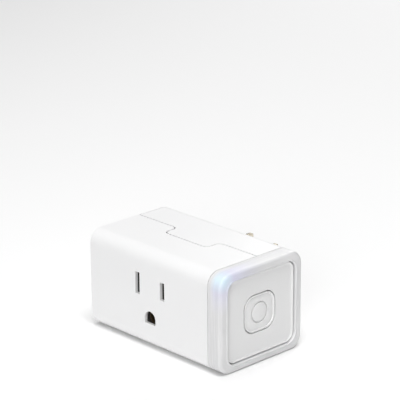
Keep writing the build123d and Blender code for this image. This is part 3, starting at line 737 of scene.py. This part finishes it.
def buildPowerButton():
    # flange, stem, thin rim, then a crowned face with a round groove; rimRound gives each loop's fall
    # and growth from the rim's inner side, and discs each loop's share of the rise and its radius
    bm = bmesh.new()
    rimX, backX, edge = keyHigh.x - key["low"], keyLow.x, key["edge"]
    flangeX = backX + key["flangeDepth"]
    baseX = rimX - key["rimDepth"]
    stations = [(backX, key["flange"]), (flangeX, key["flange"]), (flangeX, 0.0), (rimX - edge, 0.0)]
    for step in range(1, key["edgeSteps"] + 1):
        angle = math.radians(90) * step / key["edgeSteps"]
        stations.append((rimX - edge * (1 - math.sin(angle)), -edge * (1 - math.cos(angle))))
    rim = key["rim"]
    stations.append((rimX - hair, key["inside"] - rim))
    stations += [(rimX - fall, grow - rim) for fall, grow in key["rimRound"]]
    for step in range(key["crownSteps"] + 1):
        share = step / key["crownSteps"]
        rise = key["crown"] * math.sin(math.radians(90) * share)
        stations.append((baseX + rise, -rim - key["inside"] - key["slope"] * share))
    loops = [keyLoop(bm, x, grow) for x, grow in stations]
    count = len(loops[0])
    faceX = baseX + key["crown"]
    half, soft, depth = key["grooveWidth"] / 2, key["grooveEdge"], key["grooveDepth"]
    outside, inside = key["groove"] + half, key["groove"] - half
    floorX = faceX - depth
    rings = [(faceX + wideHair, outside + soft), (faceX - soft * 0.3, outside + soft * 0.3),
             (faceX - soft, outside), (floorX + soft, outside - soft * 0.5), (floorX, outside - soft * 2),
             (floorX - wideHair, inside + soft * 2), (floorX + soft, inside + soft * 0.5),
             (faceX - soft, inside), (faceX - soft * 0.3, inside - soft * 0.3), (faceX, inside - soft)]
    rings += [(faceX + key["middle"] * share, radius) for share, radius in key["discs"]]
    loops += [circle(bm, x, radius, count, keyCentre) for x, radius in rings]
    skin(bm, loops)
    bmesh.ops.holes_fill(bm, edges=loops[-1] + loops[0], sides=0)
    makePiece("powerButton", bm, "button", "power_button", "button_plastic", 50)


buildEndPanel()
buildPowerButton()
print("end panel and button built")


# blades and earth pin

prong = {
    "widths": {"line_blade": 6.35, "neutral_blade": 7.94},
    "pinRadius": 2.39,
    "tailLeft": 5.0,
    "edge": 0.22,
    "tip": 0.7,
    "pinTip": 0.8,
    "pinSides": 48,
    "tipSteps": 8,
}


def buildBlade(name, node):
    # a flat blade without the hidden end of its tail
    low, high = span(node)
    centre = mountPoint(node + "_plug")
    halfWidth = prong["widths"][node] / 2
    bm = bmesh.new()
    addBox(bm, (low.x, low.y + prong["tailLeft"], centre.z - halfWidth),
           (high.x, high.y, centre.z + halfWidth))
    atTip = [e for e in bm.edges if all(abs(v.co.y - high.y) < same for v in e.verts)]
    corners = [e for e in atTip if abs(e.verts[0].co.x - e.verts[1].co.x) >= same]
    bmesh.ops.bevel(bm, geom=corners, offset=prong["tip"], affect="EDGES", segments=5,
                    profile=0.5, material=-1)
    soften(bm, prong["edge"], 3, 30)
    makePiece(name, bm, "casing", node, "nickel_brass")


def buildEarthPin():
    low, high = span("ground_pin")
    centre = mountPoint("earth_pin")
    radius = prong["pinRadius"]
    bm = bmesh.new()
    profile = [(0, high.y)]
    tip = prong["pinTip"] * radius
    for step in range(prong["tipSteps"] + 1):
        angle = math.radians(90) * step / prong["tipSteps"]
        profile.append((radius - tip + tip * math.sin(angle), high.y - tip + tip * math.cos(angle)))
    startY = low.y + prong["tailLeft"]
    profile += [(radius, startY), (0, startY)]
    points = [bm.verts.new((centre.x + r, y, centre.z)) for r, y in profile]
    edges = [bm.edges.new(pair) for pair in zip(points, points[1:])]
    bmesh.ops.spin(bm, geom=points + edges, cent=(centre.x, 0, centre.z), axis=(0, 1, 0),
                   angle=math.radians(360), steps=prong["pinSides"], use_merge=True)
    makePiece("earthPin", bm, "casing", "ground_pin", "nickel_brass")


buildBlade("lineBlade", "line_blade")
buildBlade("neutralBlade", "neutral_blade")
buildEarthPin()
print("blades built")


# floor, light and camera

studio = {
    "floorSize": 4.0,
    "floorTone": (0.95, 0.95, 0.95),
    "floorMottle": 0.995,
    "worldStrength": 0.05,
    "lamps": {
        "above": dict(place=(-0.1, -0.1, 0.9), aim=(0, -0.02, 0), size=0.7, power=3.6),
        "aboveButton": dict(place=(0.35, -0.15, 0.85), aim=(0.02, -0.02, 0), size=0.5, power=2.6),
        "grazing": dict(place=(0.2, -0.1, 0.9), aim=(0.02, -0.02, 0), size=0.3, power=1.6),
        "frontHigh": dict(place=(0.15, -0.65, 0.75), aim=(0.02, -0.02, 0), size=0.5, power=0.2),
        "frontLow": dict(place=(0.42, -0.75, 0.35), aim=(0.03, -0.02, 0), size=0.4, power=3.0),
        "behind": dict(place=(-0.4, 0.8, 0.5), aim=(0, -0.02, 0), size=0.5, power=3.2),
    },
}


def buildFloor():
    bm = bmesh.new()
    half = studio["floorSize"] / 2
    bmesh.ops.create_grid(bm, x_segments=8, y_segments=8, size=half,
                          matrix=Matrix.Translation((0, 0, bodyLow.z * milli)))
    mesh = bpy.data.meshes.new("floor")
    bm.to_mesh(mesh)
    bm.free()
    floor = bpy.data.objects.new("floor", mesh)
    scene.collection.objects.link(floor)
    material, shader, spot = newFinish("floorPaper", Roughness=0.9)
    fibre = noise(spot, 0.02, 2.0)
    tone = Vector(studio["floorTone"])
    feed(shader, Base_Color=fibre.blend(colour(*(tone * studio["floorMottle"])), colour(*tone)))
    mesh.materials.append(material)


def buildLights():
    world = bpy.data.worlds.new("studio")
    scene.world = world
    world.use_nodes = True
    sky = world.node_tree.nodes["Background"]
    sky.inputs["Color"].default_value = colour(1, 1, 1)
    sky.inputs["Strength"].default_value = studio["worldStrength"]
    for name, lamp in studio["lamps"].items():
        light = bpy.data.lights.new(name, "AREA")
        light.shape = "SQUARE"
        light.size = lamp["size"]
        light.energy = lamp["power"]
        place = Vector(lamp["place"])
        holder = bpy.data.objects.new(name, light)
        scene.collection.objects.link(holder)
        holder.location = place
        holder.rotation_mode = "QUATERNION"
        holder.rotation_quaternion = (Vector(lamp["aim"]) - place).to_track_quat("-Z", "Y")


viewpoint = {"azimuth": 46.377, "elevation": 19.167, "roll": -0.396, "distance": 0.685584,
             "target": (0.002745, -0.02, 0.033506), "lens": 177.22, "sensor": 36, "near": 0.01, "far": 20}


def buildCamera():
    azimuth, elevation = math.radians(viewpoint["azimuth"]), math.radians(viewpoint["elevation"])
    back = Vector((math.sin(azimuth) * math.cos(elevation), -math.cos(azimuth) * math.cos(elevation),
                   math.sin(elevation)))
    lens = bpy.data.cameras.new("camera")
    lens.lens = viewpoint["lens"]
    lens.sensor_width = viewpoint["sensor"]
    lens.clip_start, lens.clip_end = viewpoint["near"], viewpoint["far"]
    camera = bpy.data.objects.new("camera", lens)
    scene.collection.objects.link(camera)
    camera.location = Vector(viewpoint["target"]) + back * viewpoint["distance"]
    camera.rotation_mode = "QUATERNION"
    roll = Quaternion((0, 0, 1), math.radians(viewpoint["roll"]))
    camera.rotation_quaternion = back.to_track_quat("Z", "Y") @ roll
    scene.camera = camera


buildFloor()
buildLights()
buildCamera()
scene.view_settings.view_transform = "Standard"
print("studio ready")
